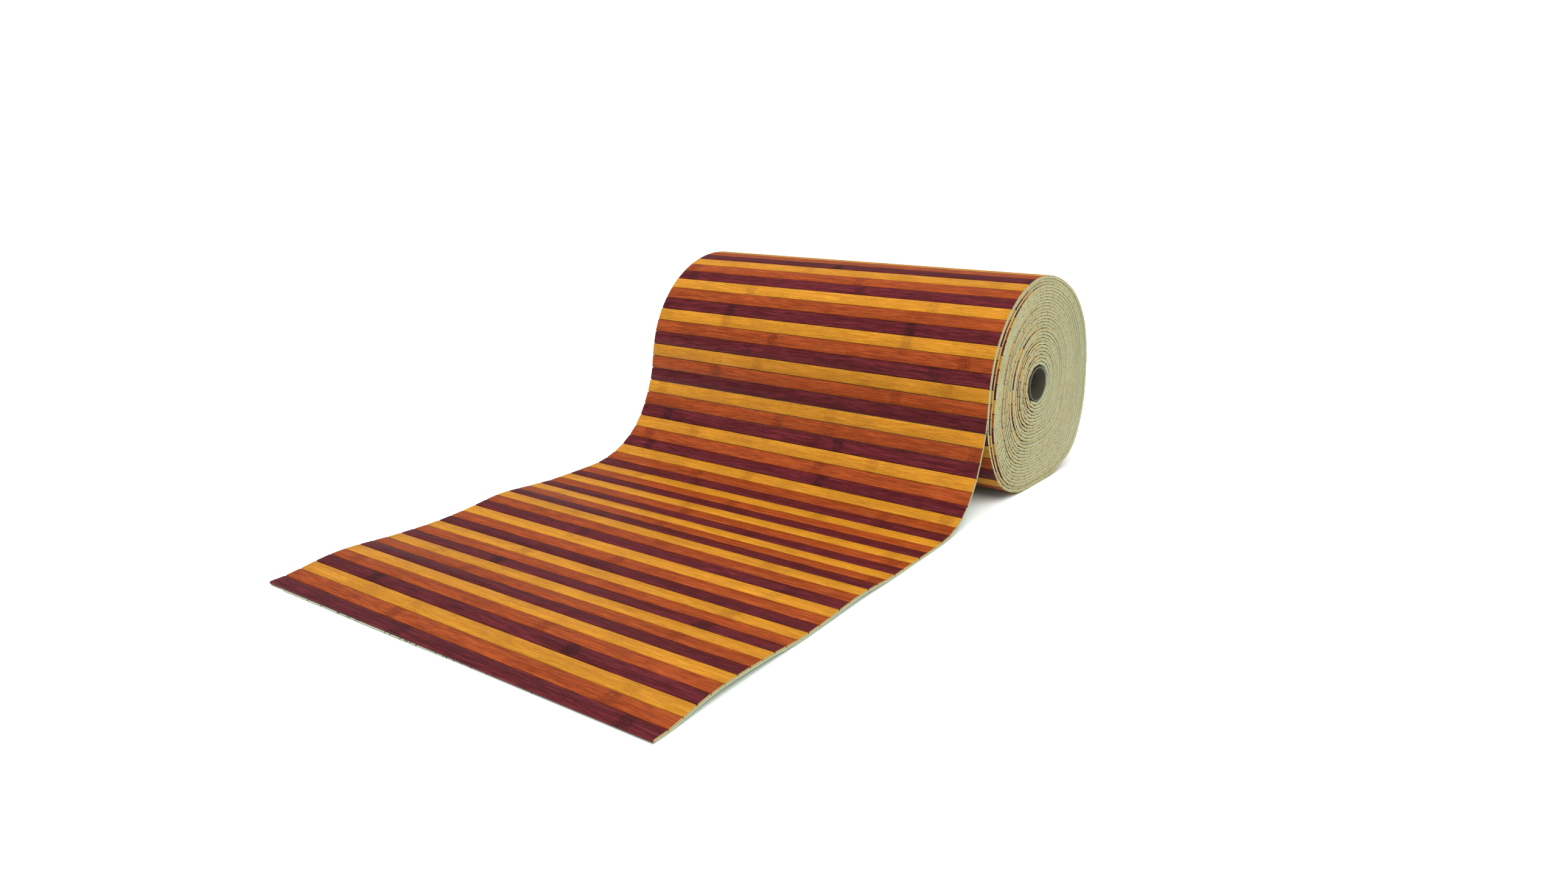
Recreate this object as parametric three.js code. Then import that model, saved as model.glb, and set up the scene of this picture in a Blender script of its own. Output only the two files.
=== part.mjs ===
// A runner rug of bamboo slats glued side by side on a thin backing, wound on a
// cardboard tube with its striped face outward. The roll lies on its side. Its last
// turn comes over the top and down the near side, swings out to the floor and runs
// on flat in two shallow waves to the free edge.
//
// Millimetres, +Z up. X runs along the slats, Y from the free edge to the roll.
// Outlines are drawn in (y, z), with y counted from the free edge, and the group is
// then moved so that the origin lies under the middle of the whole box.

import * as THREE from 'three';

// The sheet
const SLAT_LENGTH = 500;      // the rug's width
const SLAT_PITCH = 16.75;     // one slat and its seam
const SEAM_WIDTH = 0.9;       // mouth of the V between two slats, on the striped face
const SEAM_DEPTH = 0.9;
const SHEET = 3.4;            // slat and backing together
const TURN = 3.7;             // room that one wound turn takes

// The roll: its middle, from the free edge and from the floor
const ROLL_Y = 694.4;
const ROLL_Z = 126;

const LEAVE_DEG = 180;        // the loose end leaves here: 0 points away from it, 90 up

// Distance of the striped face from the roll's middle, in the turn that ends at
// LEAVE_DEG. The turns lie a little flat underneath and bulge at both lower corners.
const ROLL_OUTLINE = [
  { deg: 0, r: 131.3 },
  { deg: 23, r: 134.8 },
  { deg: 44, r: 136.3 },
  { deg: 62, r: 134.2 },
  { deg: 90, r: 130.4 },
  { deg: 120, r: 126.6 },
  { deg: 150, r: 125.6 },
  { deg: 180, r: 128.6 },
  { deg: 195, r: 136.2 },
  { deg: 210, r: 140.4 },
  { deg: 228, r: 144.2 },
  { deg: 250, r: 135.6 },
  { deg: 270, r: 128.8 },
  { deg: 285, r: 132.8 },
  { deg: 300, r: 136.6 },
  { deg: 315, r: 141.2 },
  { deg: 340, r: 134 },
];

// The two slack gaps between the outer turns, on the near side
const SLACK = 3;
const SLACK_FROM_DEG = 98;
const SLACK_TO_DEG = 234;
const SLACK_GAPS = 2;
const SLACK_STEPS = 16;

// The loose end, from the free edge to where it meets the roll: y, the height of the
// striped face half-way along the slats, and how far the left end stands over the right
const LOOSE_END = [
  { name: 'free edge', y: 0, z: 3.4, tilt: 0 },
  { name: 'flat', y: 16, z: 3.5, tilt: 0 },
  { name: 'first wave', y: 72, z: 9.5, tilt: -0.2 },
  { name: 'first wave, back', y: 142, z: 6.6, tilt: -2.8 },
  { name: 'floor', y: 192, z: 4, tilt: -1.2 },
  { name: 'second wave, front', y: 232, z: 5, tilt: -0.6 },
  { name: 'second wave', y: 290, z: 8.3, tilt: 1.9 },
  { name: 'second wave, back', y: 344, z: 4.6, tilt: 1.4 },
  { name: 'floor', y: 372, z: 3.4, tilt: 0 },
  { name: 'lift', y: 444, z: 3.4, tilt: 0 },
  { name: 'foot', y: 478, z: 8.2, tilt: 1.8 },
  { name: 'foot', y: 508, z: 20.4, tilt: 3 },
  { name: 'foot', y: 533, z: 41.8, tilt: 1 },
  { name: 'rise', y: 551, z: 70.9, tilt: 0 },
  { name: 'rise', y: 562, z: 100, tilt: 0 },
];
const GUIDE_TURNS = 0.04;     // the loose end's curve is led this far up the roll
const WEDGE_TOP_DEG = 188;    // where the loose end and the turn under it come apart
const WEDGE_MOUTH = 5;        // height over which that wedge opens
const CURVE_STEPS = 400;      // fine steps from which the slats' joints are found

// The turns were wound a little askew: the roll's far side stands out along X
const SKEW = 0.0567;
const SKEW_NONE_Y = 615;      // in line with the loose end here
const SKEW_NEAR_Y = 560;      // near side of the roll
const SKEW_CALM_Y = 455;      // the loose end lies straight from here on
const FLARE = 5;              // the outer turns slid this much further at the back
const FLARE_FROM_Y = 714;
const FLARE_TO_Y = 825;

// The tube, pressed a little oval by the roll, and the innermost turn around it
const TUBE = { y: 693.2, z: 124.5, wide: 49, high: 41, wall: 1.6 };
const TUBE_RECESS = 0.5;      // its ends lie this far inside the roll's
const TUBE_STEPS = 40;
const CORE_CLEARANCE = 0.3;   // between the tube and the slats around it
const CORE_SIDES = 9;         // slats in the innermost turn
const CORE_START_DEG = 206;   // the sheet's inner edge

const rad = THREE.MathUtils.degToRad;

// Smooth value of a table's column around a full circle
function around(table, deg) {
  const n = table.length;
  const a = THREE.MathUtils.euclideanModulo(deg, 360);
  let i = n - 1;
  while (table[i].deg > a) i--;
  const row = (k) => {
    const lap = Math.floor(k / n);
    return { deg: table[k - lap * n].deg + 360 * lap, r: table[k - lap * n].r };
  };
  const [p, q, s, u] = [row(i - 1), row(i), row(i + 1), row(i + 2)];
  const span = s.deg - q.deg;
  const t = (a - q.deg) / span;
  const slopeIn = (s.r - p.r) / (s.deg - p.deg) * span;
  const slopeOut = (u.r - q.r) / (u.deg - q.deg) * span;
  return q.r * (2 * t ** 3 - 3 * t ** 2 + 1) + slopeIn * (t ** 3 - 2 * t ** 2 + t)
    + s.r * (3 * t ** 2 - 2 * t ** 3) + slopeOut * (t ** 3 - t ** 2);
}

function polar(deg, r) {
  const a = rad(deg);
  return new THREE.Vector2(ROLL_Y + r * Math.cos(a), Math.max(0, ROLL_Z + r * Math.sin(a)));
}

// Striped face of the wound sheet, counted in turns back from where the loose end leaves
function woundRadius(turns) {
  return around(ROLL_OUTLINE, LEAVE_DEG - 360 * turns) - TURN * turns;
}

function woundFace(turns) {
  return polar(LEAVE_DEG - 360 * turns, woundRadius(turns));
}

// Fine points along the striped face, from the free edge to the last turn's wedge
function stripedFace() {
  const knots = LOOSE_END.map((row) => new THREE.Vector3(row.y, row.z, 0));
  for (const turns of [0, GUIDE_TURNS]) {
    const p = woundFace(turns);
    knots.push(new THREE.Vector3(p.x, p.y, 0));
  }
  const curve = new THREE.CatmullRomCurve3(knots);
  const points = [];
  const last = (knots.length - 2) / (knots.length - 1);   // the share that ends at the roll
  for (let i = 0; i < CURVE_STEPS; i++) {
    const p = curve.getPoint(last * i / CURVE_STEPS);
    points.push(new THREE.Vector2(p.x, Math.max(SHEET, p.y)));
  }
  const wedge = 1 - (WEDGE_TOP_DEG - LEAVE_DEG) / 360;
  for (let i = 0; i <= CURVE_STEPS; i++) points.push(woundFace(wedge * i / CURVE_STEPS));
  return points;
}

// Joints between slats: points on a line that lie one straight pitch apart
function slatJoints(line) {
  const joints = [line[0].clone()];
  for (let i = 1; i < line.length; i++) {
    const from = joints[joints.length - 1];
    if (line[i].distanceTo(from) < SLAT_PITCH) continue;
    const before = line[i - 1].distanceTo(from);
    const share = (SLAT_PITCH - before) / (line[i].distanceTo(from) - before);
    joints.push(line[i - 1].clone().lerp(line[i], share));
  }
  return joints;
}

// Directions along and out of the striped face at each joint
function directions(joints) {
  return joints.map((p, i) => {
    const a = joints[Math.max(0, i - 1)];
    const b = joints[Math.min(joints.length - 1, i + 1)];
    const along = b.clone().sub(a).normalize();
    return { along, out: new THREE.Vector2(-along.y, along.x) };
  });
}

// Outer outline: the striped face with its seams, back along the loose end's underside
function rugOutline() {
  const line = stripedFace();
  const joints = slatJoints(line);
  const ways = directions(joints);
  const wedge = line[line.length - 1];
  const outline = [joints[0]];
  for (let i = 1; i < joints.length - 1; i++) {
    const { along, out } = ways[i];
    const half = along.clone().multiplyScalar(SEAM_WIDTH / 2);
    outline.push(joints[i].clone().sub(half));
    outline.push(joints[i].clone().addScaledVector(out, -SEAM_DEPTH));
    outline.push(joints[i].clone().add(half));
  }
  outline.push(wedge);
  const underside = joints
    .map((p, i) => p.clone().addScaledVector(ways[i].out, -SHEET))
    .filter((p, i) => joints[i].x < ROLL_Y && i < joints.length / 2 && p.y < wedge.y - WEDGE_MOUTH);
  for (const p of underside.reverse()) outline.push(new THREE.Vector2(p.x, Math.max(0, p.y)));
  outline[outline.length - 1] = new THREE.Vector2(joints[0].x, 0);
  return outline.reverse();
}

// A thin crescent between two outer turns, open from one end of the roll to the other
function slackGap(index) {
  const inside = [];
  const outside = [];
  for (let i = 0; i <= SLACK_STEPS; i++) {
    const share = i / SLACK_STEPS;
    const deg = SLACK_FROM_DEG + (SLACK_TO_DEG - SLACK_FROM_DEG) * share;
    const slack = SLACK * Math.sin(Math.PI * share);
    const turns = 1 + (LEAVE_DEG - deg) / 360;
    const r = woundRadius(turns) - TURN * (1 + index) - slack * index;
    outside.push(polar(deg, r));
    if (i > 0 && i < SLACK_STEPS) inside.push(polar(deg, r - slack));
  }
  return outside.concat(inside.reverse());
}

// The hole that the innermost turn leaves: flat slats around the tube, and the step
// where the second turn climbs over the sheet's inner edge
function coreHole() {
  const corner = 1 / Math.cos(Math.PI / CORE_SIDES);
  const points = [];
  for (let k = 0; k <= CORE_SIDES; k++) {
    const deg = CORE_START_DEG + 360 * k / CORE_SIDES;
    const climb = k === CORE_SIDES ? TURN : 0;
    const a = (TUBE.wide / 2 + CORE_CLEARANCE) * corner + climb;
    const b = (TUBE.high / 2 + CORE_CLEARANCE) * corner + climb;
    points.push(new THREE.Vector2(TUBE.y + a * Math.cos(rad(deg)), TUBE.z + b * Math.sin(rad(deg))));
  }
  return points;
}

// How far the sheet has slid along X, and how far its left end stands over its right
function slide(y) {
  const flare = FLARE * THREE.MathUtils.smoothstep(y, FLARE_FROM_Y, FLARE_TO_Y);
  if (y >= SKEW_NEAR_Y) return SKEW * (y - SKEW_NONE_Y) + flare;
  const ease = THREE.MathUtils.smoothstep(y, SKEW_CALM_Y, SKEW_NEAR_Y);
  return SKEW * (SKEW_NEAR_Y - SKEW_NONE_Y) * ease;
}

function tilt(y) {
  const next = LOOSE_END.findIndex((row) => row.y > y);
  if (next < 0) return 0;
  const [a, b] = [LOOSE_END[next - 1], LOOSE_END[next]];
  return THREE.MathUtils.lerp(a.tilt, b.tilt, THREE.MathUtils.smoothstep(y, a.y, b.y));
}

// A closed solid from outlines in (y, z): each end has the same points, set by `end`
function solidBetween(outer, holes, end) {
  const loops = [THREE.ShapeUtils.isClockWise(outer) ? outer.reverse() : outer];
  for (const hole of holes) loops.push(THREE.ShapeUtils.isClockWise(hole) ? hole : hole.reverse());
  const flat = loops.flat();
  const count = flat.length;
  const corners = [];
  for (const side of [-1, 1]) for (const p of flat) corners.push(...end(p, side));
  const index = [];
  for (const [a, b, c] of THREE.ShapeUtils.triangulateShape(loops[0], loops.slice(1))) {
    const turn = flat[b].clone().sub(flat[a]).cross(flat[c].clone().sub(flat[a]));
    const [p, q] = turn > 0 ? [b, c] : [c, b];
    index.push(count + a, count + p, count + q, a, q, p);
  }
  let start = 0;
  for (const loop of loops) {
    for (let i = 0; i < loop.length; i++) {
      const a = start + i;
      const b = start + (i + 1) % loop.length;
      index.push(a, b, count + b, a, count + b, count + a);
    }
    start += loop.length;
  }
  const geometry = new THREE.BufferGeometry();
  geometry.setAttribute('position', new THREE.Float32BufferAttribute(corners, 3));
  geometry.setIndex(index);
  geometry.computeVertexNormals();
  return geometry;
}

function rug() {
  const holes = [coreHole()];
  for (let i = 0; i < SLACK_GAPS; i++) holes.push(slackGap(i));
  const geometry = solidBetween(rugOutline(), holes, (p, side) => {
    const lift = -side * tilt(p.x) / 2;
    return [side * SLAT_LENGTH / 2 + slide(p.x), p.x, Math.max(0, p.y + lift)];
  });
  const material = new THREE.MeshStandardMaterial({ color: 0xa5532a, roughness: 0.4, metalness: 0 });
  const mesh = new THREE.Mesh(geometry, material);
  mesh.name = 'bamboo_sheet';
  return mesh;
}

function oval(wide, high) {
  const points = [];
  for (let i = 0; i < TUBE_STEPS; i++) {
    const a = 2 * Math.PI * i / TUBE_STEPS;
    points.push(new THREE.Vector2(TUBE.y + wide / 2 * Math.cos(a), TUBE.z + high / 2 * Math.sin(a)));
  }
  return points;
}

function tube() {
  const inner = oval(TUBE.wide - 2 * TUBE.wall, TUBE.high - 2 * TUBE.wall);
  const half = SLAT_LENGTH / 2 - TUBE_RECESS;
  const geometry = solidBetween(oval(TUBE.wide, TUBE.high), [inner], (p, side) => (
    [side * half + slide(TUBE.y), p.x, p.y]));
  const material = new THREE.MeshStandardMaterial({ color: 0x6e6350, roughness: 0.85, metalness: 0 });
  const mesh = new THREE.Mesh(geometry, material);
  mesh.name = 'core_tube';
  return mesh;
}

const rolledRug = new THREE.Group();
rolledRug.add(rug(), tube());
const box = new THREE.Box3().setFromObject(rolledRug);
const middle = box.getCenter(new THREE.Vector3());
rolledRug.position.set(-middle.x, -middle.y, -box.min.z);

export default rolledRug;
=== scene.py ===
# %% [markdown]
# # A rolled bamboo runner rug
#
# The real rug is a few hundred bamboo slats glued side by side on a thin felt backing. It
# bends only at the joints between two slats. Here it is wound on a cardboard tube with its
# striped face outward, and its last turn runs out over the floor to a free edge.
#
# The lesson follows the way the rug is made. One slat is modelled by hand, laid out as a
# flat mat, and the mat is then rolled up: every slat moves as a stiff bar to its own place
# on a spiral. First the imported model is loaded. It is the fixed frame that everything must
# fit, so its box is written down before anything is added.

# %% Load the frame
import bisect
import math
import random

import bpy
import bmesh
import numpy as np
from mathutils import Matrix, Vector


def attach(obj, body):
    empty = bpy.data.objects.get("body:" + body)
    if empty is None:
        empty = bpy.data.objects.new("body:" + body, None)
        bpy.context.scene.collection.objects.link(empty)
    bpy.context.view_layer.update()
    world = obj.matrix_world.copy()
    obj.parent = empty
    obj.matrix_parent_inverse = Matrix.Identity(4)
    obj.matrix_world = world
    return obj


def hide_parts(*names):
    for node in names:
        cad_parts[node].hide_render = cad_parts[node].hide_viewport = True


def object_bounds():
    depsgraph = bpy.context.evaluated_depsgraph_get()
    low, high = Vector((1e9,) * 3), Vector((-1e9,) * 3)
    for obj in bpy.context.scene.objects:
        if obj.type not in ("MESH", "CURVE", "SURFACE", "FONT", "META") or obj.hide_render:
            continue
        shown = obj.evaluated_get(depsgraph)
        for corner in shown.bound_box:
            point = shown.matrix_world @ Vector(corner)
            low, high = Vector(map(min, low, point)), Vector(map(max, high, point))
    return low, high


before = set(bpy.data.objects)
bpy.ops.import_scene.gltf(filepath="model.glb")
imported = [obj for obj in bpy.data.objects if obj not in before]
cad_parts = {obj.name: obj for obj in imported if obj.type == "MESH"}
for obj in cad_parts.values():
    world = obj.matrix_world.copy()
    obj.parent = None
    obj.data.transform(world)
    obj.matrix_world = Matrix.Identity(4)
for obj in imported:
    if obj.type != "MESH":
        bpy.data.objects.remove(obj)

cad_box = [list(corner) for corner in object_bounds()]
free_edge_y = cad_box[0][1]
print("model's box in metres:", [[round(v, 4) for v in corner] for corner in cad_box])

# %% [markdown]
# ## Sizes
#
# All sizes of the rug are in millimetres, the unit in which a mat maker thinks, and they
# turn to metres only where a mesh is written. The roll's outline is a short table of
# directions and distances from its middle. It isn't round: the turns lie flat underneath
# and bulge at both lower corners.

# %% Sizes of the sheet, the roll and the loose end
MM = 0.001

SLAT_LENGTH = 500
SLAT_PITCH = 16.75
SLAT_WIDTH = 16.6         # where it is glued down; the rest of the pitch is the seam
SLAT_THICK = 2.2
BACKING_THICK = 1.1
SHEET = 3.4               # room for the sheet in the model, from its striped face
TURN = 3.7                # room for one wound turn

ROLL_Y, ROLL_Z = 694.4, 126
LEAVE_DEG = 180           # the loose end leaves the roll here; 90 is up
ROLL_OUTLINE = [          # degrees, distance of the striped face from the middle
    (0, 131.3), (23, 134.8), (44, 136.3), (62, 134.2), (90, 130.4), (120, 126.6),
    (150, 125.6), (180, 128.6), (195, 136.2), (210, 140.4), (228, 144.2), (250, 135.6),
    (270, 128.8), (285, 132.8), (300, 136.6), (315, 141.2), (340, 134),
]
LOOSE_END = [             # distance from the free edge, height, left end over right end
    (0, 3.4, 0), (16, 3.5, 0), (72, 9.5, -0.2), (142, 6.6, -2.8), (192, 4, -1.2),
    (232, 5, -0.6), (290, 8.3, 1.9), (344, 4.6, 1.4), (372, 3.4, 0), (444, 3.4, 0),
    (478, 8.2, 1.8), (508, 20.4, 3), (533, 41.8, 1), (551, 70.9, 0), (562, 100, 0),
]
GUIDE_TURNS = 0.04        # the loose end's curve is led this far up the roll

TUBE_Y, TUBE_Z = 693.2, 124.5
TUBE_WIDE, TUBE_HIGH, TUBE_WALL = 49, 41, 1.1
TUBE_RECESS = 0.5
CORE_CLEARANCE = 0.3

# %% [markdown]
# ## Camera
#
# The camera is made first, because the photograph's viewing angle decides what shows. Its
# place and angles come from the slats themselves: they are all equally long and equally
# wide, so their picture fixes where it was taken from. The picture's centre lies below the
# lens axis, which is what a small vertical shift does. The roll stands askew on the sheet,
# and that skew is needed here already, to find the middle of the sheet in the model's box.

# %% Camera at the photograph's angle
IMAGE_WIDTH, IMAGE_HEIGHT = 2576, 1450
FOCAL_PX = 1814
AXIS_ROW_PX = 454.6       # the row of the picture that the lens axis meets
SENSOR = 36               # millimetres
YAW, PITCH, ROLL = (math.radians(a) for a in (35.274, 7.971, -0.692))
CAMERA_FROM_SHEET = (756.7, -546.4, 441.3)   # from the middle of the free edge

SKEW = 0.0567             # slide along X for each millimetre further back on the roll
SKEW_NONE_Y = 615         # the slide passes through zero here
SKEW_NEAR_Y = 560         # the loose end leaves the askew roll here
SKEW_CALM_Y = 455         # and lies straight from here to the free edge
near_slide = SKEW * (SKEW_NEAR_Y - SKEW_NONE_Y)
sheet_x = cad_box[0][0] + (SLAT_LENGTH / 2 - near_slide) * MM

forward = Vector((
    -math.sin(YAW) * math.cos(PITCH),
    math.cos(YAW) * math.cos(PITCH),
    -math.sin(PITCH),
))
level_right = forward.cross(Vector((0, 0, 1))).normalized()
level_up = level_right.cross(forward)
right = level_right * math.cos(ROLL) + level_up * math.sin(ROLL)
up = right.cross(forward)

bpy.ops.object.camera_add()
camera = bpy.context.object
camera.name = "photo_camera"
camera.rotation_euler = Matrix((right, up, -forward)).transposed().to_euler()
camera.location = (
    sheet_x + CAMERA_FROM_SHEET[0] * MM,
    free_edge_y + CAMERA_FROM_SHEET[1] * MM,
    CAMERA_FROM_SHEET[2] * MM,
)
camera.data.sensor_fit = "HORIZONTAL"
camera.data.sensor_width = SENSOR
camera.data.lens = SENSOR * FOCAL_PX / IMAGE_WIDTH
camera.data.shift_y = (AXIS_ROW_PX - IMAGE_HEIGHT / 2) / IMAGE_WIDTH
bpy.context.scene.camera = camera
print("lens in mm:", round(camera.data.lens, 2), "shift:", round(camera.data.shift_y, 3))

# %% [markdown]
# ## Finding a place on the roll
#
# Every place on the sheet is found from one number, the turns wound since the sheet left
# the floor. The direction turns steadily with it, and the distance from the middle shrinks
# from the outline to the tube. `around` reads the outline's table as a smooth closed curve.

# %% Smooth curves through the tables
def around(deg):
    """Distance of the outline in one direction, smooth round the circle."""
    table = ROLL_OUTLINE
    count = len(table)
    angle = deg % 360
    i = bisect.bisect_right([row[0] for row in table], angle) - 1
    rows = []
    for k in (i - 1, i, i + 1, i + 2):
        lap = k // count
        rows.append((table[k - lap * count][0] + 360 * lap, table[k - lap * count][1]))
    (a0, r0), (a1, r1), (a2, r2), (a3, r3) = rows
    span = a2 - a1
    t = (angle - a1) / span
    slope_in = (r2 - r0) / (a2 - a0) * span
    slope_out = (r3 - r1) / (a3 - a1) * span
    return (r1 * (2 * t**3 - 3 * t**2 + 1) + slope_in * (t**3 - 2 * t**2 + t)
            + r2 * (3 * t**2 - 2 * t**3) + slope_out * (t**3 - t**2))


def smoothstep(value, low, high):
    """0 below low, 1 above high and a soft rise between them."""
    t = min(1, max(0, (value - low) / (high - low)))
    return t * t * (3 - 2 * t)


def spline_point(knots, i, t):
    """Point at share t between knots i and i + 1 on a curve that doesn't overshoot."""
    before = knots[i - 1] if i > 0 else 2 * knots[0] - knots[1]
    after = knots[i + 2] if i + 2 < len(knots) else 2 * knots[-1] - knots[-2]
    p = [before, knots[i], knots[i + 1], after]
    d = [math.sqrt((p[k + 1] - p[k]).length) for k in range(3)]
    leave = (p[1] - p[0]) / d[0] - (p[2] - p[0]) / (d[0] + d[1]) + (p[2] - p[1]) / d[1]
    arrive = (p[2] - p[1]) / d[1] - (p[3] - p[1]) / (d[1] + d[2]) + (p[3] - p[2]) / d[2]
    return (p[1] * (2 * t**3 - 3 * t**2 + 1) + leave * d[1] * (t**3 - 2 * t**2 + t)
            + p[2] * (3 * t**2 - 2 * t**3) + arrive * d[1] * (t**3 - t**2))

# %% [markdown]
# ## The wound sheet's path
#
# The outer turn follows the model's outline. From there each turn lies a little further
# in, until the last one lies on the tube. On the near side the second, third and fourth
# turns hang apart: two slack gaps open there and close again over the far side.

# %% The spiral
TURNS = 27.93             # counted in the photograph; the last slat lies at the tube's lower left
CROWDING = -0.06          # turns lie a little looser near the tube
SLACK = 3                 # how far the turns hang apart
SLACK_FROM_DEG, SLACK_TO_DEG = 98, 234
SLACK_GAPS = [(1.35, 1.65), (2.35, 2.65)]    # turns between which each gap opens
CORE_SLATS = 9            # slats that go once round the tube
CORE_CORNER = 1 / math.cos(math.pi / CORE_SLATS)


def wound_point(turns, depth):
    """A point (y, z) of the wound sheet, `depth` under its striped face."""
    deg = LEAVE_DEG - 360 * turns
    direction = Vector((math.cos(math.radians(deg)), math.sin(math.radians(deg))))
    distance = around(deg) - TURN * min(turns, 1) - depth
    share = max(0, (turns - 1) / (TURNS - 1))
    share += CROWDING * share * (1 - share)
    sag = (deg % 360 - SLACK_FROM_DEG) / (SLACK_TO_DEG - SLACK_FROM_DEG)
    if 0 < sag < 1:
        gaps = sum(smoothstep(turns, low, high) for low, high in SLACK_GAPS)
        distance -= SLACK * math.sin(math.pi * sag) * gaps * (1 - share)
    outer = Vector((ROLL_Y, ROLL_Z)) + direction * distance
    outer.y = max(outer.y, depth)
    reach = CORE_CLEARANCE + SHEET - depth
    core = Vector((TUBE_Y + (TUBE_WIDE / 2 + reach) * CORE_CORNER * direction.x,
                   TUBE_Z + (TUBE_HIGH / 2 + reach) * CORE_CORNER * direction.y))
    return outer.lerp(core, share)


def fine_line(depth, first_turn, last_turn, steps):
    """Fine points (y, z, turns) on the wound sheet."""
    line = []
    for i in range(steps + 1):
        turns = first_turn + (last_turn - first_turn) * i / steps
        point = wound_point(turns, depth)
        line.append((point.x, point.y, turns))
    return line

# %% [markdown]
# ## Where the joints fall
#
# A slat is stiff, so the sheet is a chain of straight links. The joints are found by
# walking along the smooth path in straight steps of one slat. On the loose end and up to
# the top of the roll the steps are measured on the striped face, so that the stripes fall
# where the photograph shows them. From there on they are measured at the backing, which is
# where the sheet really bends.

# %% Walk along the path
BEND_DEPTH = SLAT_THICK   # the joints bend where the slats meet the backing
LOOSE_STEPS = 40          # fine steps between two points of the loose end's table
FACE_WALK_TURNS = 0.27    # the top of the roll
FACE_STEPS, INNER_STEPS = 400, 40000


def walk(start, line, chord):
    """Joints one chord apart, from `start` on along the fine line."""
    joints = [start]
    for before, point in zip(line, line[1:]):
        reach = math.dist(point[:2], joints[-1][:2])
        if reach < chord or point[2] < joints[-1][2]:
            continue
        low = math.dist(before[:2], joints[-1][:2])
        share = (chord - low) / (reach - low) if reach > low else 1
        share = min(1, max(0, share))
        joints.append(tuple(a + (b - a) * share for a, b in zip(before, point)))
    return joints


def outward(joints):
    """Unit direction out of the striped face at each joint."""
    points = np.array([j[:2] for j in joints])
    along = np.gradient(points, axis=0)
    along /= np.linalg.norm(along, axis=1)[:, None]
    return np.stack([-along[:, 1], along[:, 0]], axis=1)


knots = [Vector(row[:2]) for row in LOOSE_END]
knots += [wound_point(0, 0), wound_point(GUIDE_TURNS, 0)]
loose_line = []
for i in range(len(knots) - 2):
    for k in range(LOOSE_STEPS):
        point = spline_point(knots, i, k / LOOSE_STEPS)
        loose_line.append((point.x, max(SHEET, point.y), 0))
face_line = loose_line + fine_line(0, 0, FACE_WALK_TURNS, FACE_STEPS)
face_joints = walk(face_line[0], face_line, SLAT_PITCH)
face_out = outward(face_joints)
bend = [(j[0] - BEND_DEPTH * n[0], j[1] - BEND_DEPTH * n[1], j[2])
        for j, n in zip(face_joints, face_out)]
inner_line = fine_line(BEND_DEPTH, bend[-1][2], TURNS, INNER_STEPS)
bend += walk(bend[-1], inner_line, SLAT_PITCH)[1:]
slat_count = len(bend) - 1

# %% [markdown]
# ## How the turns slid sideways
#
# A hand-rolled mat is never wound true. The whole roll leans a little along X, the outer
# turns slid further at the back, and each turn stands a millimetre or so in or out of its
# neighbours. That is what draws the rings in the roll's end, so it is worth modelling. The
# outer turns follow the photograph and the inner ones are random, with a fixed seed.

# %% Sideways slide of each joint
random.seed(11)
FLARE = 5                 # the outer turns stand out this far at the roll's back
FLARE_FROM_Y, FLARE_TO_Y = 714, 825
FLARE_TURNS = 6
OUTER_SLIDES = [(0, 0), (0.7, 0), (1, -0.7), (2, -0.2), (3, 1), (9, -0.6)]   # turn, mm
SLIDE_EVERY = (0.5, 1.3)  # turns from one random slide to the next
SLIDE_BY = (-1, 0.7)
JITTER = 0.12             # each slat's own slide, either way

slides = list(OUTER_SLIDES)
while slides[-1][0] < TURNS:
    slides.append((slides[-1][0] + random.uniform(*SLIDE_EVERY), random.uniform(*SLIDE_BY)))
slide_turns, slide_mm = zip(*slides)


def slide(y, turns):
    """How far the sheet has slid along X at this place."""
    if turns == 0 and y < SKEW_NEAR_Y:
        return near_slide * smoothstep(y, SKEW_CALM_Y, SKEW_NEAR_Y)
    flare = FLARE * smoothstep(y, FLARE_FROM_Y, FLARE_TO_Y) * max(0, 1 - turns / FLARE_TURNS)
    own = float(np.interp(turns, slide_turns, slide_mm))
    return SKEW * (y - SKEW_NONE_Y) + flare + own


def tilt(y, turns):
    """How far the sheet's left end stands over its right end."""
    if turns > 0 or y >= LOOSE_END[-1][0]:
        return 0
    i = bisect.bisect_right([row[0] for row in LOOSE_END], y) - 1
    a, b = LOOSE_END[i], LOOSE_END[i + 1]
    return a[2] + (b[2] - a[2]) * smoothstep(y, a[0], b[0])


joint_x = np.array([slide(j[0], j[2]) for j in bend])
joint_tilt = np.array([tilt(j[0], j[2]) for j in bend])
print("slide along X in mm, least and most:", joint_x.min().round(1), joint_x.max().round(1))

# %% [markdown]
# ## Colours and nodes
#
# Colours are picked as sRGB hex values, as in a paint program, and one function turns them
# to the linear values that shaders work in. One more function adds a node with its
# settings and links, so that each material reads as a recipe. Its inputs can be values,
# sockets or whole nodes, and a whole node stands for its first output. The Math and Mix
# nodes have several inputs of one name, so theirs are given by number: i0, i1 and so on.

# %% Colour and node helpers
def linear(hex_colour):
    """An sRGB hex colour as linear RGBA."""
    values = []
    for k in (0, 2, 4):
        c = int(hex_colour[k:k + 2], 16) / 255
        values.append(c / 12.92 if c <= 0.04045 else ((c + 0.055) / 1.055) ** 2.4)
    return (*values, 1)


def new_material(name):
    """An empty node material with its principled shader."""
    material = bpy.data.materials.new(name)
    material.use_nodes = True
    return material, material.node_tree.nodes["Principled BSDF"]


def link(owner, source, node, name):
    """Link a socket, or a node's first output, to an input of another node."""
    socket = source.outputs[0] if isinstance(source, bpy.types.Node) else source
    owner.node_tree.links.new(socket, node.inputs[name])


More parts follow.
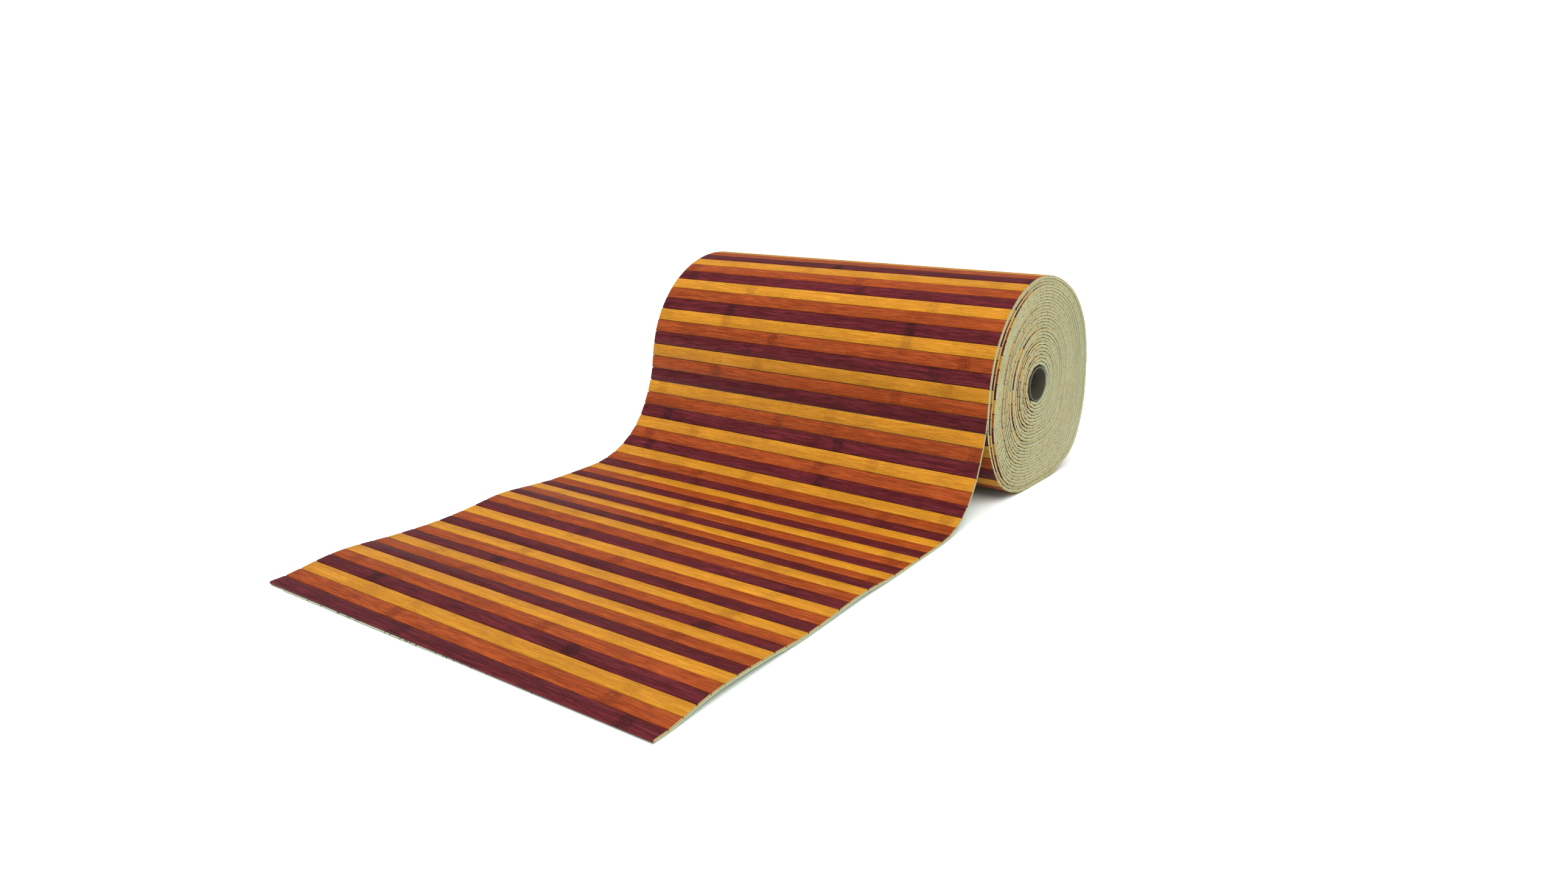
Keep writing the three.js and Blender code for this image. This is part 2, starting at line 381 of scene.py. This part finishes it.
def add(owner, kind, settings=(), **inputs):
    """Add a node to a material or a world, with its settings and its inputs."""
    node = owner.node_tree.nodes.new(kind)
    for key, value in dict(settings).items():
        setattr(node, key, value)
    for key, value in inputs.items():
        numbered = key[0] == "i" and key[1:].isdigit()
        name = int(key[1:]) if numbered else key.replace("_", " ")
        if isinstance(value, (bpy.types.Node, bpy.types.NodeSocket)):
            link(owner, value, node, name)
        else:
            node.inputs[name].default_value = value
    return node

# %% [markdown]
# ## Stained bamboo
#
# The slats are split bamboo, planed flat, stained in three colours and lacquered satin.
# What the eye reads as bamboo is the straight fine grain along the slat, short dark
# vessels in it, and every 27 cm a node: a ragged band of dark flecks across the slat,
# strong on some slats and faint on others. All of it runs along X, so noise that is
# stretched along X gives the grain on every slat, however the slat is turned on the roll.
# Each slat carries its own random number, which shifts its grain and its nodes and gives
# it a tone of its own.
#
# Lacquer has an IOR of about 1.5 and a satin coat a roughness of about 0.4. The slats are
# matched to the photograph from there, a little less glossy, so that the stains stay deep.

# %% Sizes of the bamboo's pattern, in metres
GRAIN_WIDTH, GRAIN_LENGTH = 0.0008, 0.02     # twice the real fibre bundle, so that it shows
BROAD_WIDTH, BROAD_LENGTH = 0.0035, 0.09
VESSEL_WIDTH, VESSEL_LENGTH = 0.0006, 0.007
CLOUD_WIDTH, CLOUD_LENGTH = 0.03, 0.05       # where the stain took more or less
GRAIN_SHIFT = (7, 3, 5)   # the slat's random number shifts its grain by up to this much

NODE_SPACING = 0.27       # the dark bands across real bamboo canes are about this far apart
NODE_CORE, NODE_HALF = 0.004, 0.011          # from a node's middle: full strength, and none
NODE_RAGGED = 0.006       # how far the band's outline wanders
RAGGED_WIDTH, RAGGED_LENGTH = 0.0025, 0.006
FLECK_SIZE = 0.0018

# %% Strengths of the bamboo's pattern
NOISE_RANGE = {"From_Min": 0.3, "From_Max": 0.7}     # noise seldom leaves this range
FINE_SHARE, BROAD_SHARE = 0.7, 0.3
NODE_STAGGER = 17         # node spacings that the random number spreads the nodes over
REMIX = 57                # turns the slat's random number into a second one
LACQUER_IOR = 1.4
LACQUER_GLOSS = 0.2       # the shader's specular level, which is 0.5 by default

# %% The stained and lacquered face
def stained_bamboo(name, dark, middle, light, vessel, node_strength):
    """Lacquered bamboo in one stain, with grain, vessels and nodes."""
    m, shader = new_material(name)
    place = add(m, "ShaderNodeTexCoord").outputs["Object"]
    own = add(m, "ShaderNodeAttribute", {"attribute_name": "slat_seed"}).outputs["Fac"]
    shift = add(m, "ShaderNodeVectorMath", {"operation": "SCALE"}, i0=GRAIN_SHIFT, Scale=own)
    shifted = add(m, "ShaderNodeVectorMath", {"operation": "ADD"}, i0=place, i1=shift)

    def streaks(width, length, detail):
        """Noise in streaks of this width and length, along the slat."""
        stretch = (1 / length, 1 / width, 1 / width)
        stretched = add(m, "ShaderNodeMapping", Vector=shifted, Scale=stretch)
        return add(m, "ShaderNodeTexNoise", Vector=stretched, Scale=1.0, Detail=detail)

    # the grain, from the dark to the light tone of the stain
    fine = streaks(GRAIN_WIDTH, GRAIN_LENGTH, 2.0)
    broad = streaks(BROAD_WIDTH, BROAD_LENGTH, 2.0)
    fine_part = add(m, "ShaderNodeMapRange", Value=fine, **NOISE_RANGE, To_Max=FINE_SHARE)
    broad_part = add(m, "ShaderNodeMapRange", Value=broad, **NOISE_RANGE, To_Max=BROAD_SHARE)
    grain = add(m, "ShaderNodeMath", {"operation": "ADD"}, i0=fine_part, i1=broad_part)
    base = add(m, "ShaderNodeValToRGB", Fac=grain)
    tones = base.color_ramp.elements
    tones[0].position, tones[0].color = 0.15, linear(dark)
    tones[1].position, tones[1].color = 0.85, linear(light)
    tones.new(0.5).color = linear(middle)

    # each slat's own tone, and the clouds in it
    cloud = streaks(CLOUD_WIDTH, CLOUD_LENGTH, 2.0)
    cloud_tone = add(m, "ShaderNodeMapRange", Value=cloud, **NOISE_RANGE, To_Min=0.9, To_Max=1.1)
    slat_tone = add(m, "ShaderNodeMapRange", Value=own, To_Min=0.93, To_Max=1.07)
    tone = add(m, "ShaderNodeMath", {"operation": "MULTIPLY"}, i0=slat_tone, i1=cloud_tone)
    toned = add(m, "ShaderNodeVectorMath", {"operation": "SCALE"}, i0=base, Scale=tone)

    # the vessels: short dark dashes
    vessels = streaks(VESSEL_WIDTH, VESSEL_LENGTH, 1.0)
    dash = add(m, "ShaderNodeMapRange", Value=vessels, From_Min=0.6, From_Max=0.72, To_Max=0.55)
    dashed = add(m, "ShaderNodeMix", {"data_type": "RGBA"}, i0=dash, i6=toned, i7=linear(vessel))

    # the distance to the nearest node, with a ragged outline
    along = add(m, "ShaderNodeSeparateXYZ", Vector=place).outputs["X"]
    staggered = add(m, "ShaderNodeMath", {"operation": "MULTIPLY_ADD"},
                    i0=own, i1=NODE_SPACING * NODE_STAGGER, i2=along)
    ragged = add(m, "ShaderNodeMapRange", Value=streaks(RAGGED_WIDTH, RAGGED_LENGTH, 1.0),
                 To_Min=-NODE_RAGGED, To_Max=NODE_RAGGED)
    wandering = add(m, "ShaderNodeMath", {"operation": "ADD"}, i0=staggered, i1=ragged)
    distance = add(m, "ShaderNodeMath", {"operation": "PINGPONG"},
                   i0=wandering, i1=NODE_SPACING / 2)
    band = add(m, "ShaderNodeMapRange", {"interpolation_type": "SMOOTHSTEP"}, Value=distance,
               From_Min=NODE_CORE, From_Max=NODE_HALF, To_Min=1, To_Max=0)

    # the node's flecks, stronger on some slats than on others
    fleck = add(m, "ShaderNodeMapRange", Value=streaks(FLECK_SIZE, FLECK_SIZE, 1.0),
                From_Min=0.42, From_Max=0.6, To_Min=0.35)
    mixed = add(m, "ShaderNodeMath", {"operation": "MULTIPLY"}, i0=own, i1=REMIX)
    second = add(m, "ShaderNodeMath", {"operation": "FRACT"}, i0=mixed)
    strength = add(m, "ShaderNodeMapRange", Value=second, To_Min=0.3)
    flecked = add(m, "ShaderNodeMath", {"operation": "MULTIPLY"}, i0=band, i1=fleck)
    spots = add(m, "ShaderNodeMath", {"operation": "MULTIPLY"}, i0=flecked, i1=strength)
    smudge = add(m, "ShaderNodeMath", {"operation": "MULTIPLY", "use_clamp": True},
                 i0=spots, i1=node_strength)
    noded = add(m, "ShaderNodeMix", {"data_type": "RGBA"},
                i0=smudge, i6=dashed.outputs[2], i7=linear(vessel))
    link(m, noded.outputs[2], shader, "Base Color")

    # the lacquer follows the grain a little and sinks in at the nodes
    rough = add(m, "ShaderNodeMapRange", Value=fine, **NOISE_RANGE, To_Min=0.36, To_Max=0.5)
    link(m, rough, shader, "Roughness")
    height = add(m, "ShaderNodeMath", {"operation": "MULTIPLY_ADD"}, i0=smudge, i1=-1.5, i2=fine)
    bump = add(m, "ShaderNodeBump", Height=height, Strength=0.3, Distance=0.0002)
    link(m, bump, shader, "Normal")
    shader.inputs["IOR"].default_value = LACQUER_IOR
    shader.inputs["Specular IOR Level"].default_value = LACQUER_GLOSS
    return m

# %% The three stains
maroon = stained_bamboo("maroon_stained_bamboo", "3C0F14", "52171C", "68242A", "210A0E", 0.8)
orange = stained_bamboo("orange_stained_bamboo", "712C0E", "893A12", "9E4B1D", "541A08", 0.7)
amber = stained_bamboo("amber_stained_bamboo", "A16816", "B07419", "BF8425", "78430F", 0.5)

# %% [markdown]
# ## Raw bamboo, glue, backing and cardboard
#
# The stain stops at the slats' ends. The saw cut there is raw bamboo, olive cream with the
# fibre bundles as fine darker dots. One long side of each slat is painted dark brown: painted
# shade for the deep shade in the V-shaped joints. Only the side away from the free edge is
# painted so: two dark sides in every joint would make the seams black lines. The backing is a
# pale, slightly green felt of pressed fibre. The tube is wound grey brown cardboard. Its faces
# are painted darker than they are, as painted shade for the shade in its bore, and its cut rim
# shows a lighter ply. All of them are matt, with a roughness from 0.7 for sawn bamboo and the
# painted joint shade to 0.95 for felt, and all show two near tones in small grains.

# %% The other finishes
def dotted_finish(name, low, high, grain, roughness, bump):
    """A matt finish of two near tones in grains, with grain size and bump in metres."""
    m, shader = new_material(name)
    place = add(m, "ShaderNodeTexCoord").outputs["Object"]
    scaled = add(m, "ShaderNodeMapping", Vector=place, Scale=(1 / grain, 1 / grain, 1 / grain))
    noise = add(m, "ShaderNodeTexNoise", Vector=scaled, Scale=1.0, Detail=3.0)
    mottled = add(m, "ShaderNodeValToRGB", Fac=noise)
    tones = mottled.color_ramp.elements
    tones[0].position, tones[0].color = 0.35, linear(low)
    tones[1].position, tones[1].color = 0.65, linear(high)
    link(m, mottled, shader, "Base Color")
    shader.inputs["Roughness"].default_value = roughness
    raised = add(m, "ShaderNodeBump", Height=noise, Strength=0.4, Distance=bump)
    link(m, raised, shader, "Normal")
    return m


raw_end = dotted_finish("sawn_bamboo_end", "877D4C", "A49763", 0.0005, 0.7, 0.0001)
# painted shade: this dark brown stands in for the shade deep in the V-shaped joints
joint_shade_side = dotted_finish("painted_joint_shade", "301C14", "46291D", 0.0008, 0.7, 0.0001)
felt = dotted_finish("felt_backing", "959B80", "B2B89D", 0.0006, 0.95, 0.0002)
thread = dotted_finish("dark_glued_thread", "1E1A14", "332C22", 0.0004, 0.8, 0.0001)
# painted shade: the tube's cardboard is made darker than it is, for the shade inside its bore
bore_shaded_cardboard = dotted_finish("cardboard_with_painted_bore_shade", "342F25", "4A4536", 0.0012, 0.9, 0.0001)
cardboard_rim = dotted_finish("cut_cardboard_rim", "5E594A", "78725C", 0.0006, 0.9, 0.0001)

# %% [markdown]
# ## One slat
#
# The slat starts as a cube at its real size. Its upper face is narrowed a little, so that
# the joints are V-shaped, and its two long upper edges are rounded over with a bevel,
# because planed bamboo never has a knife edge and that edge catches the light. The saw
# leaves the ends square but breaks their upper corners. Those small notches take the
# painted joint shade, so they show as the dark dots at every joint in the roll's end.
#
# Operators act on all that is selected, so each step first selects just what it means.

# %% Selecting
def clear_selection():
    """Leave nothing selected."""
    bpy.ops.object.select_all(action="DESELECT")


def select_only(obj):
    """Select one object alone and make it the active one."""
    clear_selection()
    obj.select_set(True)
    bpy.context.view_layer.objects.active = obj

# %% Cut the slat's blank
SLAT_TOP = 16.05          # width of the striped face before its edges are rounded
NEARLY = 0.9              # this share of a length or a direction counts as all of it

clear_selection()
bpy.ops.mesh.primitive_cube_add(size=1, location=(0, 0, SLAT_THICK / 2 * MM))
slat = bpy.context.object
slat.name = "slat"
slat.scale = (SLAT_LENGTH * MM, SLAT_WIDTH * MM, SLAT_THICK * MM)
bpy.ops.object.transform_apply(location=True, rotation=True, scale=True)

select_only(slat)
bpy.ops.object.mode_set(mode="EDIT")
bpy.ops.mesh.select_all(action="DESELECT")
mesh = bmesh.from_edit_mesh(slat.data)
for face in mesh.faces:
    face.select_set(face.normal.z > NEARLY)
bpy.ops.transform.resize(value=(1, SLAT_TOP / SLAT_WIDTH, 1))

# %% Round its long upper edges
EDGE_ROUND = 0.4

bpy.ops.mesh.select_all(action="DESELECT")
bpy.ops.mesh.select_mode(type="EDGE")
mesh = bmesh.from_edit_mesh(slat.data)
for edge in mesh.edges:
    one, other = (point.co for point in edge.verts)
    upper = min(one.z, other.z) > SLAT_THICK * NEARLY * MM
    lengthwise = abs(one.x - other.x) > SLAT_LENGTH * NEARLY * MM
    edge.select_set(upper and lengthwise)
bpy.ops.mesh.bevel(offset=EDGE_ROUND * MM, segments=2, affect="EDGES")

# %% Break its upper corners
BROKEN_LENGTH = 1.2       # how far in from the end a corner is broken off
BROKEN_TOP = 15.35        # width of the striped face at the very end

bpy.ops.mesh.select_mode(type="VERT")
for side in (-1, 1):
    bpy.ops.mesh.select_all(action="SELECT")
    cut = (side * (SLAT_LENGTH / 2 - BROKEN_LENGTH) * MM, 0, 0)
    bpy.ops.mesh.bisect(plane_co=cut, plane_no=(1, 0, 0))
bpy.ops.mesh.select_all(action="DESELECT")
mesh = bmesh.from_edit_mesh(slat.data)
for point in mesh.verts:
    at_end = abs(point.co.x) > (SLAT_LENGTH - BROKEN_LENGTH) / 2 * MM
    point.select_set(at_end and point.co.z > SLAT_THICK / 2 * MM)
bpy.ops.transform.resize(value=(1, BROKEN_TOP / SLAT_TOP, 1))
bpy.ops.object.mode_set(mode="OBJECT")

# %% Mark which finish each face takes
STAINED, SAWN, JOINT_SHADE = range(3)
SIDE_NORMAL = 0.8         # a face turned this far to +Y takes the painted joint shade
CORNER_NORMAL = 0.15      # a face turned this far along X is a broken corner, which takes it too

for face in slat.data.polygons:
    endwise = abs(face.normal.x)
    if endwise > NEARLY:
        face.material_index = SAWN
    # one long side and the broken corners take the painted joint shade
    elif face.normal.y > SIDE_NORMAL or endwise > CORNER_NORMAL:
        face.material_index = JOINT_SHADE
    else:
        face.material_index = STAINED
print("faces of one slat:", len(slat.data.polygons))

# %% [markdown]
# ## Lay the mat flat
#
# The stripes repeat maroon, orange, amber from the free edge on. Each colour is an array
# of the one slat at three pitches, applied so that every slat has its own points. That
# keeps the three colours as three pieces, each with its own stain. The finishes are listed
# in the order of the numbers that the slat's faces carry.

# %% Three arrays of slats
STRIPES = [("slats_maroon", maroon), ("slats_orange", orange), ("slats_amber", amber)]


def lay_slats(name, stain, first):
    """A flat array of every third slat, from slat number `first` on."""
    select_only(slat)
    bpy.ops.object.duplicate()
    row = bpy.context.object
    row.name = name
    row.location.y = (first + 0.5) * SLAT_PITCH * MM
    bpy.ops.object.transform_apply(location=True, rotation=True, scale=True)
    bpy.ops.object.modifier_add(type="ARRAY")
    array = row.modifiers[-1]
    array.use_relative_offset = False
    array.use_constant_offset = True
    array.constant_offset_displace = (0, len(STRIPES) * SLAT_PITCH * MM, 0)
    array.count = len(range(first, slat_count, len(STRIPES)))
    bpy.ops.object.modifier_apply(modifier=array.name)
    for finish in (stain, raw_end, joint_shade_side):
        row.data.materials.append(finish)
    print(name, len(row.data.vertices), "points")
    return row


mats = [lay_slats(name, stain, k) for k, (name, stain) in enumerate(STRIPES)]
bpy.data.objects.remove(slat)

# %% [markdown]
# ## Roll the mat up
#
# Now each slat moves as a stiff bar from its place on the flat mat to its place on the
# path: its middle goes to the middle between two joints, its width along the line that
# joins them, and its thickness straight out. Its two long sides slide along X as their own
# joints do, so the ends of neighbouring slats stay in one smooth line. The slat's number
# comes from where its points lie on the flat mat, and it also gives each slat its random
# value for the finish.

# %% Move every slat to its place
SMOOTH_DEG = 30           # edges blunter than this are shaded smooth

joints = np.array([j[:2] for j in bend])
link_along = np.diff(joints, axis=0)
link_along /= np.linalg.norm(link_along, axis=1)[:, None]
link_out = np.stack([-link_along[:, 1], link_along[:, 0]], axis=1)
link_middle = (joints[:-1] + joints[1:]) / 2
jitter = np.array([random.uniform(-JITTER, JITTER) for _ in range(slat_count)])
slat_seeds = np.array([random.random() for _ in range(slat_count)])


def in_frame(x, y, z):
    """Rows of millimetres from the free edge's middle, as metres in the model's frame."""
    return np.stack([sheet_x + x * MM, free_edge_y + y * MM, z * MM], axis=1)


def spot(x, y, z):
    """The same for a single place."""
    return in_frame(*np.array([[x], [y], [z]]))[0]


def roll_up(piece):
    """Move each slat of a flat array to its place on the roll or the loose end."""
    points = np.empty(len(piece.data.vertices) * 3)
    piece.data.vertices.foreach_get("co", points)
    points = points.reshape(-1, 3) / MM
    number = np.floor(points[:, 1] / SLAT_PITCH).astype(int)
    share = points[:, 1] / SLAT_PITCH - number
    across = (share - 0.5) * SLAT_PITCH
    place = link_middle[number] + across[:, None] * link_along[number]
    place += points[:, 2:] * link_out[number]
    slid = joint_x[number] + share * (joint_x[number + 1] - joint_x[number]) + jitter[number]
    leaning = joint_tilt[number] + share * (joint_tilt[number + 1] - joint_tilt[number])
    lift = -points[:, 0] / SLAT_LENGTH * leaning
    placed = in_frame(points[:, 0] + slid, place[:, 0], place[:, 1] + lift)
    piece.data.vertices.foreach_set("co", placed.ravel())
    seeds = piece.data.attributes.new("slat_seed", "FLOAT", "POINT")
    seeds.data.foreach_set("value", slat_seeds[number])
    piece.data.update()
    select_only(piece)
    bpy.ops.object.shade_smooth_by_angle(angle=math.radians(SMOOTH_DEG))


for piece in mats:
    roll_up(piece)
print("rolled up", slat_count, "slats")

# %% [markdown]
# ## The backing
#
# The backing is one felt strip as long as the whole sheet. It is laid flat as a grid with
# a row of points at every joint, each row is moved to its joint on the path, and Solidify
# then gives the felt its thickness on the side away from the slats. It shows as a thin
# pale line along every turn in the roll's end. At the free edge it starts a little behind
# the first slat, because the frayed strip takes over there.

# %% Roll the backing up with the slats
BACKING_COLUMNS = 10
BACKING_INSET = 0.1       # its cut edge lies this far inside the slats' ends
FREE_EDGE_INSET = 3       # and this far behind the first slat's edge

clear_selection()
bpy.ops.mesh.primitive_grid_add(x_subdivisions=BACKING_COLUMNS, y_subdivisions=slat_count, size=1)
backing = bpy.context.object
backing.name = "felt_backing"
flat = np.empty(len(backing.data.vertices) * 3)
backing.data.vertices.foreach_get("co", flat)
flat = flat.reshape(-1, 3)
row = np.rint((flat[:, 1] + 0.5) * slat_count).astype(int)
felt_x = flat[:, 0] * (SLAT_LENGTH - 2 * BACKING_INSET) + joint_x[row]
felt_y = joints[row, 0] + np.where(row == 0, FREE_EDGE_INSET, 0)
felt_points = in_frame(felt_x, felt_y, joints[row, 1] - flat[:, 0] * joint_tilt[row])
backing.data.vertices.foreach_set("co", felt_points.ravel())
backing.data.update()
bpy.ops.object.modifier_add(type="SOLIDIFY")
backing.modifiers[-1].thickness = BACKING_THICK * MM
backing.modifiers[-1].offset = -1
backing.modifiers[-1].use_even_offset = True
bpy.ops.object.modifier_apply(modifier=backing.modifiers[-1].name)
backing.data.materials.append(felt)
print("backing faces:", len(backing.data.polygons))

# %% [markdown]
# ## The frayed free edge
#
# At the free edge a little felt hangs out in front of the first slat on the left. Towards
# the right, and again at the left corner, it draws back under the slat. A few dark glued
# threads cross it. It is a narrow grid whose front points are pulled out by a different
# amount each, and the threads are small cubes laid over it.

# %% Fray the free edge
FRAY_CELLS = 125
FRAY_SHORT = 4            # so much shorter than the slats
FRAY_THICK = 0.6
FRAY_SUNK = 0.05          # a hair under the slat, so that the two faces never coincide
FRAY_LEFT = 1.1           # millimetres of felt in front of the slat on the left
FRAY_RIGHT = -1.5         # and under the slat on the right
FRAY_FROM_X, FRAY_TO_X = -60, 110
FRAY_CORNER = (30, 10)    # from the left corner, where it draws back too
FRAY_RAGGED = 0.5


def felt_reach(x):
    """How far the felt hangs out in front of the first slat at one place along it."""
    to_corner = [SLAT_LENGTH / 2 - inset for inset in FRAY_CORNER]
    tucked = smoothstep(x, FRAY_FROM_X, FRAY_TO_X) + smoothstep(-x, *to_corner)
    return FRAY_LEFT + (FRAY_RIGHT - FRAY_LEFT) * tucked


clear_selection()
bpy.ops.mesh.primitive_grid_add(x_subdivisions=FRAY_CELLS, y_subdivisions=1, size=1)
fray = bpy.context.object
fray.name = "frayed_felt_edge"
for point in fray.data.vertices:
    x = point.co.x * (SLAT_LENGTH - FRAY_SHORT)
    reach = felt_reach(x) - random.uniform(0, FRAY_RAGGED)
    y = -reach if point.co.y < 0 else FREE_EDGE_INSET
    point.co = spot(x, y, SHEET - BEND_DEPTH - FRAY_SUNK)
bpy.ops.object.modifier_add(type="SOLIDIFY")
fray.modifiers[-1].thickness = FRAY_THICK * MM
fray.modifiers[-1].offset = -1
bpy.ops.object.modifier_apply(modifier=fray.modifiers[-1].name)
fray.data.materials.append(felt)
fray.data.materials.append(thread)

# %% Lay the threads over it
THREADS = 26
THREAD_FROM_X, THREAD_TO_X = -SLAT_LENGTH / 2 + 40, SLAT_LENGTH / 2 - 30
THREAD_MOST_X = -SLAT_LENGTH / 4     # most of them lie around here
THREAD_WIDE = (0.5, 0.9)
THREAD_THICK = 0.35
THREAD_OVER = 0.8         # a thread is this much longer than the felt in front of the slat
THREAD_TURN = 0.5         # radians, either way

threads = []
for _ in range(THREADS):
    x = random.triangular(THREAD_FROM_X, THREAD_TO_X, THREAD_MOST_X)
    reach = max(0, felt_reach(x))
    middle = spot(x, -reach / 2, SHEET - BEND_DEPTH)
    turned = (0, 0, random.uniform(-THREAD_TURN, THREAD_TURN))
    clear_selection()
    bpy.ops.mesh.primitive_cube_add(size=1, location=middle, rotation=turned)
    piece = bpy.context.object
    wide = random.uniform(*THREAD_WIDE)
    piece.scale = (wide * MM, (reach + THREAD_OVER) * MM, THREAD_THICK * MM)
    bpy.ops.object.transform_apply(location=True, rotation=True, scale=True)
    piece.data.materials.append(felt)
    piece.data.materials.append(thread)
    piece.data.polygons.foreach_set("material_index", [1] * len(piece.data.polygons))
    threads.append(piece)
for piece in (*threads, fray):
    piece.select_set(True)
bpy.context.view_layer.objects.active = fray
bpy.ops.object.join()
print("frayed edge faces:", len(fray.data.polygons))

# %% [markdown]
# ## The tube
#
# The cardboard tube is a cylinder without caps, pressed oval, with Solidify for its wall
# and a small bevel on its cut rims. It ends half a millimetre inside the roll's ends. Its
# cut rims take a lighter ply, and all its other faces a darker cardboard: painted shade for its
# bore.

# %% Model the tube
TUBE_SIDES = 96
RIM_ROUND = 0.2
RIM_NORMAL = 0.3          # a face turned this far along the tube belongs to the cut rim
TUBE_SMOOTH_DEG = 40

clear_selection()
bpy.ops.mesh.primitive_cylinder_add(
    vertices=TUBE_SIDES,
    radius=0.5,
    depth=1,
    end_fill_type="NOTHING",
    rotation=(0, math.pi / 2, 0),
)
tube = bpy.context.object
tube.name = "cardboard_tube"
bpy.ops.object.transform_apply(location=True, rotation=True, scale=True)
tube.scale = ((SLAT_LENGTH - 2 * TUBE_RECESS) * MM, TUBE_WIDE * MM, TUBE_HIGH * MM)
tube.location = spot(SKEW * (TUBE_Y - SKEW_NONE_Y), TUBE_Y, TUBE_Z)
bpy.ops.object.transform_apply(location=True, rotation=True, scale=True)
bpy.ops.object.modifier_add(type="SOLIDIFY")
tube.modifiers[-1].thickness = TUBE_WALL * MM
tube.modifiers[-1].offset = -1
bpy.ops.object.modifier_apply(modifier=tube.modifiers[-1].name)
bpy.ops.object.modifier_add(type="BEVEL")
tube.modifiers[-1].width = RIM_ROUND * MM
tube.modifiers[-1].segments = 2
bpy.ops.object.modifier_apply(modifier=tube.modifiers[-1].name)
bpy.ops.object.shade_smooth_by_angle(angle=math.radians(TUBE_SMOOTH_DEG))
tube.data.materials.append(bore_shaded_cardboard)
tube.data.materials.append(cardboard_rim)
# the cut rims take the lighter ply; all other faces take the darker cardboard with the painted
# bore shade
for face in tube.data.polygons:
    face.material_index = 1 if abs(face.normal.x) > RIM_NORMAL else 0
print("tube faces:", len(tube.data.polygons))

# %% [markdown]
# ## Floor and light
#
# The photograph was taken on white paper in a white studio. A wide pale floor and a white
# world do the same. One wide soft sun from the front right lights the stripes and the
# roll's end. The shadow that it lays falls back and to the left, where the rug hides it,
# and a soft dark corner is left in the wedge. In a real studio a lacquered face mirrors
# more than white walls. So the world is dimmer in reflections, the sun isn't mirrored at
# all, and the stains keep their depth.

# %% Stage
FLOOR_SIZE = 60
FLOOR_DROP = 0.4          # millimetres, so that the floor isn't level with the felt
WORLD_STRENGTH = 1.15
MIRRORED_STRENGTH = 0.3   # the world's strength in reflections
SUN_FROM = (0.45, -0.4, 1)
SUN_STRENGTH = 2.2
SUN_DEG = 50              # as wide as a large softbox close by

clear_selection()
bpy.ops.mesh.primitive_plane_add(size=FLOOR_SIZE, location=(0, 0, -FLOOR_DROP * MM))
floor = bpy.context.object
floor.name = "floor"
paper, paper_shader = new_material("white_paper")
paper_shader.inputs["Base Color"].default_value = linear("EAF0EC")
paper_shader.inputs["Roughness"].default_value = 1.0
paper_shader.inputs["Specular IOR Level"].default_value = 0.0
floor.data.materials.append(paper)

world = bpy.data.worlds.new("white_studio")
bpy.context.scene.world = world
world.use_nodes = True
background = world.node_tree.nodes["Background"]
background.inputs["Color"].default_value = linear("FFFFFF")
mirrored = add(world, "ShaderNodeLightPath").outputs["Is Glossy Ray"]
dimmed = add(world, "ShaderNodeMapRange", Value=mirrored,
             To_Min=WORLD_STRENGTH, To_Max=MIRRORED_STRENGTH)
link(world, dimmed, background, "Strength")
bpy.context.scene.view_settings.view_transform = "Standard"

bpy.ops.object.light_add(type="SUN", location=SUN_FROM)
sun = bpy.context.object
sun.name = "soft_sun"
sun.data.energy = SUN_STRENGTH
sun.data.angle = math.radians(SUN_DEG)
sun.rotation_euler = (-Vector(SUN_FROM)).to_track_quat("-Z", "Y").to_euler()
sun.visible_glossy = False

# %% [markdown]
# ## Hand the pieces over
#
# Every piece rides on the one body. The slats and the felt stand for the model's sheet,
# and the tube for the model's tube. The slats are the pieces glued on the felt.

# %% Ride and replace
for piece in (*mats, backing, fray, tube):
    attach(piece, "root")
for piece in mats:
    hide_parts("bamboo_sheet")
for piece in (backing, fray):
    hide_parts("bamboo_sheet")
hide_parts("core_tube")
